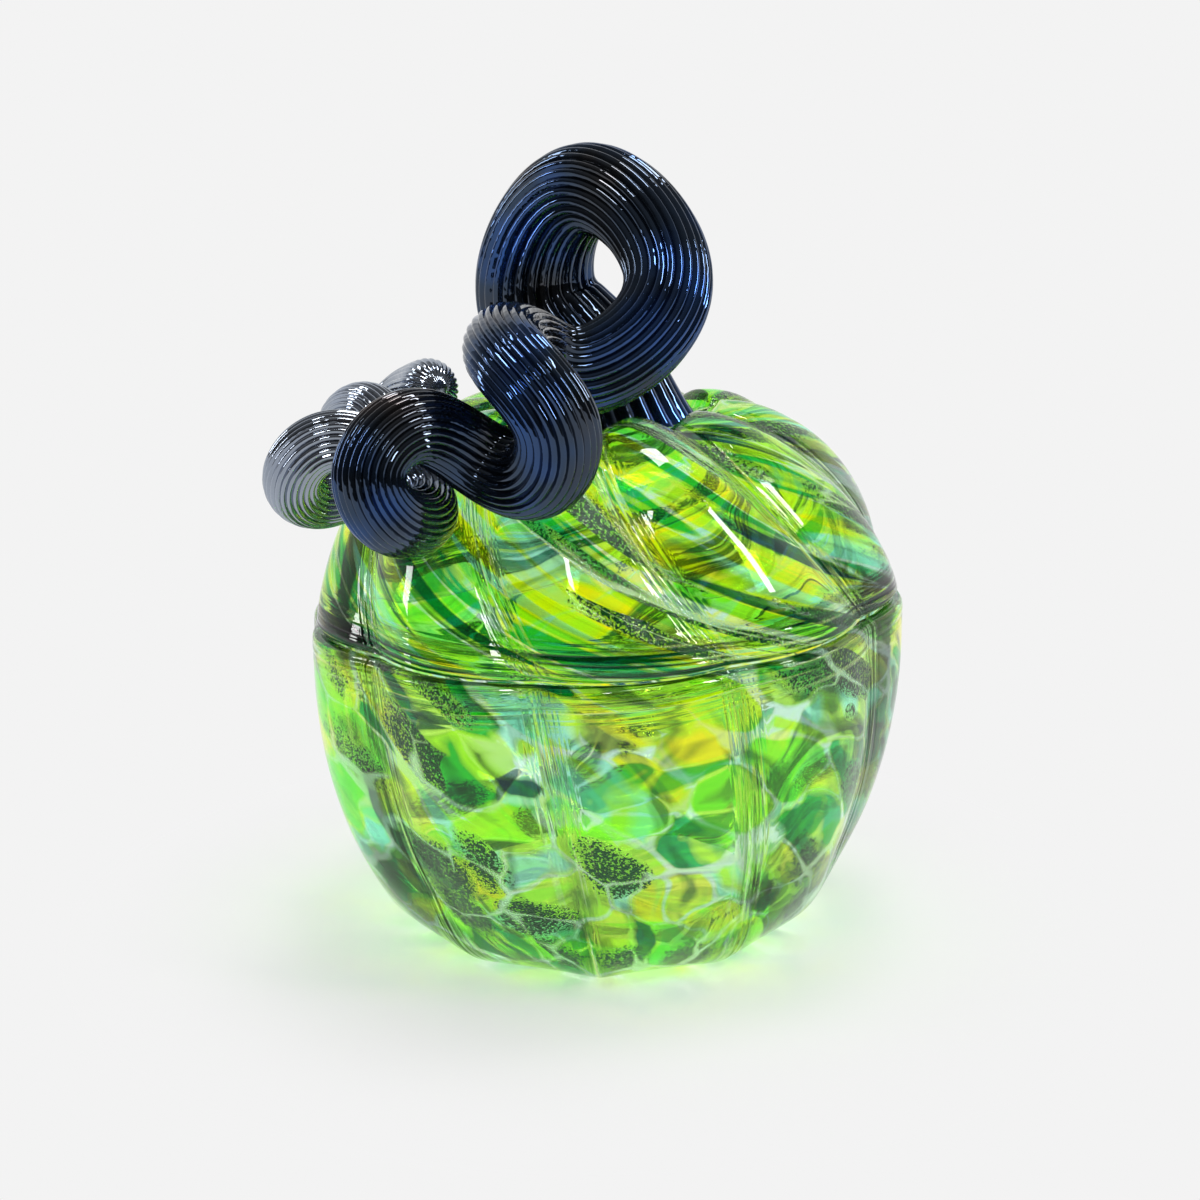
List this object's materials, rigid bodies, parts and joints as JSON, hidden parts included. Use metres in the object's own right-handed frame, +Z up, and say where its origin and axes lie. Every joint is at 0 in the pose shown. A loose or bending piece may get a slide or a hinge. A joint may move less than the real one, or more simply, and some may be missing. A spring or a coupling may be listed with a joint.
{
  "type": "glass pumpkin jar",
  "caption": "Lobed pumpkin-shaped jar of blown glass with a lift-off lobed lid and a curled, ribbed glass stem as its handle.",
  "frame": {"origin": "centre of the flat disc under the bowl, on the surface it stands on", "axes": "+Z up along the jar's axis, the way the lid lifts; -Y towards the viewer of the picture; +X to the picture's right"},
  "size_m": [0.1317, 0.1366, 0.171],
  "materials": {
    "bowl_glass": "clear lime glass with frit in yellow, jade and dark green, and pale veins",
    "lid_glass": "clear lime glass with twisted frit streaks in yellow, jade and dark green",
    "stem_glass": "near-black navy glass with a lustre skin and fine lengthwise ribs"
  },
  "bodies": {
    "bowl": {"bowl": "bowl_glass"},
    "lid": {"lid": "lid_glass", "stem": "stem_glass"}
  },
  "joints": [
    {"name": "lid_lift", "type": "slide", "parent": "bowl", "child": "lid", "axis": [0, 0, 1], "range_m": [0, 0.1]}
  ]
}
